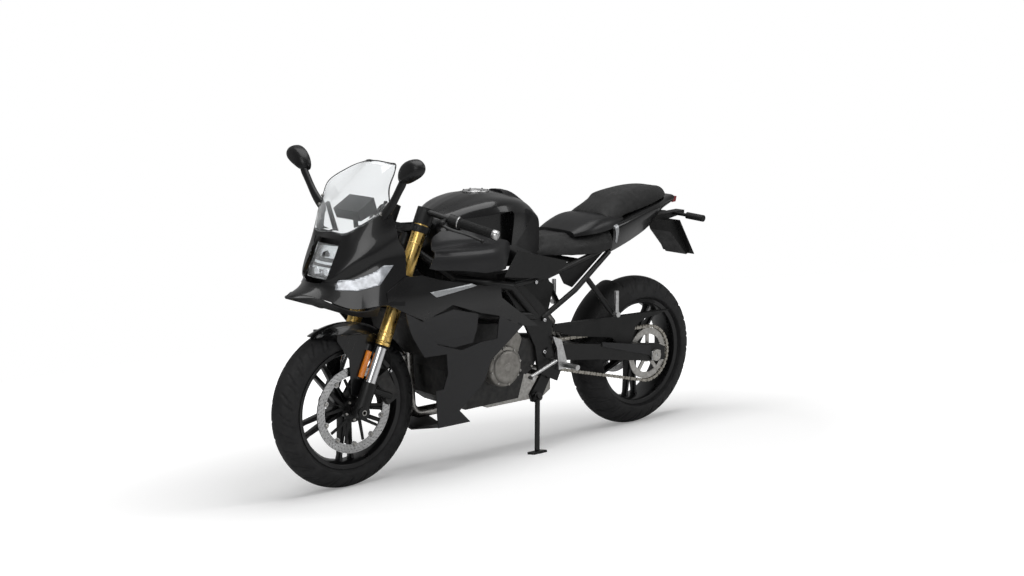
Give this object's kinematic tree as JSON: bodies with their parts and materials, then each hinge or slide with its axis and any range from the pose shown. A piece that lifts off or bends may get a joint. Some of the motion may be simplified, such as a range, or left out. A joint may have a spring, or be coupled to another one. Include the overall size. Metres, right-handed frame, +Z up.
{
  "type": "sport motorcycle",
  "caption": "Faired sport motorcycle parked on its side stand, with steering, free wheels, a folding stand, a hinged filler cap and a tail plate holder.",
  "frame": {"origin": "on the ground, under the middle of the bounding box of the parked machine", "axes": "+X forward along the wheelbase, +Y to the rider's left, +Z up; the machine leans 10 degrees to +Y on its side stand"},
  "size_m": [2.072, 0.8437, 1.2742],
  "materials": {
    "black_paint": "gloss",
    "graphite_paint": "satin",
    "frame_black": "satin",
    "wheel_paint": "gloss",
    "black_metal": "satin",
    "gold": "satin",
    "steel": "satin",
    "chain_steel": "satin",
    "disc_steel": "satin",
    "chrome": "polished",
    "dark_alloy": "satin",
    "cast_alloy": "satin",
    "cap_alloy": "satin",
    "alloy": "satin",
    "tyre_rubber": "matte",
    "rubber": "matte",
    "black_plastic": "matte",
    "red_lens": "gloss",
    "amber_lens": "gloss",
    "clear_lens": "clear",
    "clear_screen": "clear",
    "seat_cover": "matte"
  },
  "bodies": {
    "chassis": {"main_frame": "frame_black", "subframe": "frame_black", "swingarm": "frame_black", "rear_axle": "steel", "rear_shock": "steel", "chain": "chain_steel", "chain_guard": "black_plastic", "rear_mudguard": "black_plastic", "rear_caliper": "dark_alloy", "engine": "dark_alloy", "engine_covers": "cast_alloy", "radiator": "dark_alloy", "exhaust": "steel", "fuel_tank": "black_paint", "tank_panels": "graphite_paint", "rider_seat": "seat_cover", "pillion_seat": "seat_cover", "tail_cowl": "black_paint", "tail_lamp": "red_lens", "nose_cowl": "black_paint", "headlight": "clear_lens", "beak": "black_plastic", "windscreen": "clear_screen", "instrument": "black_plastic", "daylight_lamps": "clear_lens", "upper_fairings": "black_paint", "lower_fairings": "graphite_paint", "fairing_vanes": "black_plastic", "belly_pan": "graphite_paint", "mirrors": "black_plastic", "fairing_stay": "frame_black", "plate_hanger": "black_plastic", "number_plate": "black_plastic", "turn_signals": "black_plastic", "rider_pegs": "alloy", "passenger_pegs": "alloy", "foot_levers": "alloy", "stand_bracket": "frame_black"},
    "steering": {"fork_uppers": "gold", "fork_steels": "chrome", "fork_feet": "frame_black", "triple_clamps": "frame_black", "handlebars": "frame_black", "grips": "rubber", "switch_pods": "black_plastic", "hand_levers": "black_metal", "front_mudguard": "black_paint", "fork_reflectors": "amber_lens", "front_caliper": "dark_alloy", "front_axle": "steel"},
    "front_wheel": {"front_tyre": "tyre_rubber", "front_rim": "wheel_paint", "front_disc": "disc_steel"},
    "rear_wheel": {"rear_tyre": "tyre_rubber", "rear_rim": "wheel_paint", "rear_disc": "disc_steel", "rear_sprocket": "steel"},
    "side_stand": {"side_stand": "frame_black"},
    "fuel_cap": {"fuel_cap": "cap_alloy"}
  },
  "joints": [
    {"name": "steering", "type": "hinge", "parent": "chassis", "child": "steering", "pos_m": [0.70757, -0.15582, 0.28435], "axis": [-0.3986, 0.1592, 0.9032], "range_deg": [-27, 27]},
    {"name": "front_wheel", "type": "hinge", "parent": "steering", "child": "front_wheel", "pos_m": [0.736, -0.15368, 0.29652], "axis": [0, 0.9848, -0.1736], "continuous": true},
    {"name": "rear_wheel", "type": "hinge", "parent": "chassis", "child": "rear_wheel", "pos_m": [-0.724, -0.1516, 0.30866], "axis": [0, 0.9848, -0.1736], "continuous": true},
    {"name": "side_stand", "type": "hinge", "parent": "chassis", "child": "side_stand", "pos_m": [-0.07432, -0.01724, 0.20664], "axis": [0.0995, 0.9598, 0.2626], "range_deg": [0, 107.9]},
    {"name": "fuel_cap", "type": "hinge", "parent": "chassis", "child": "fuel_cap", "pos_m": [0.16328, -0.02518, 1.0254], "axis": [0, 0.9848, -0.1736], "range_deg": [0, 95]}
  ]
}
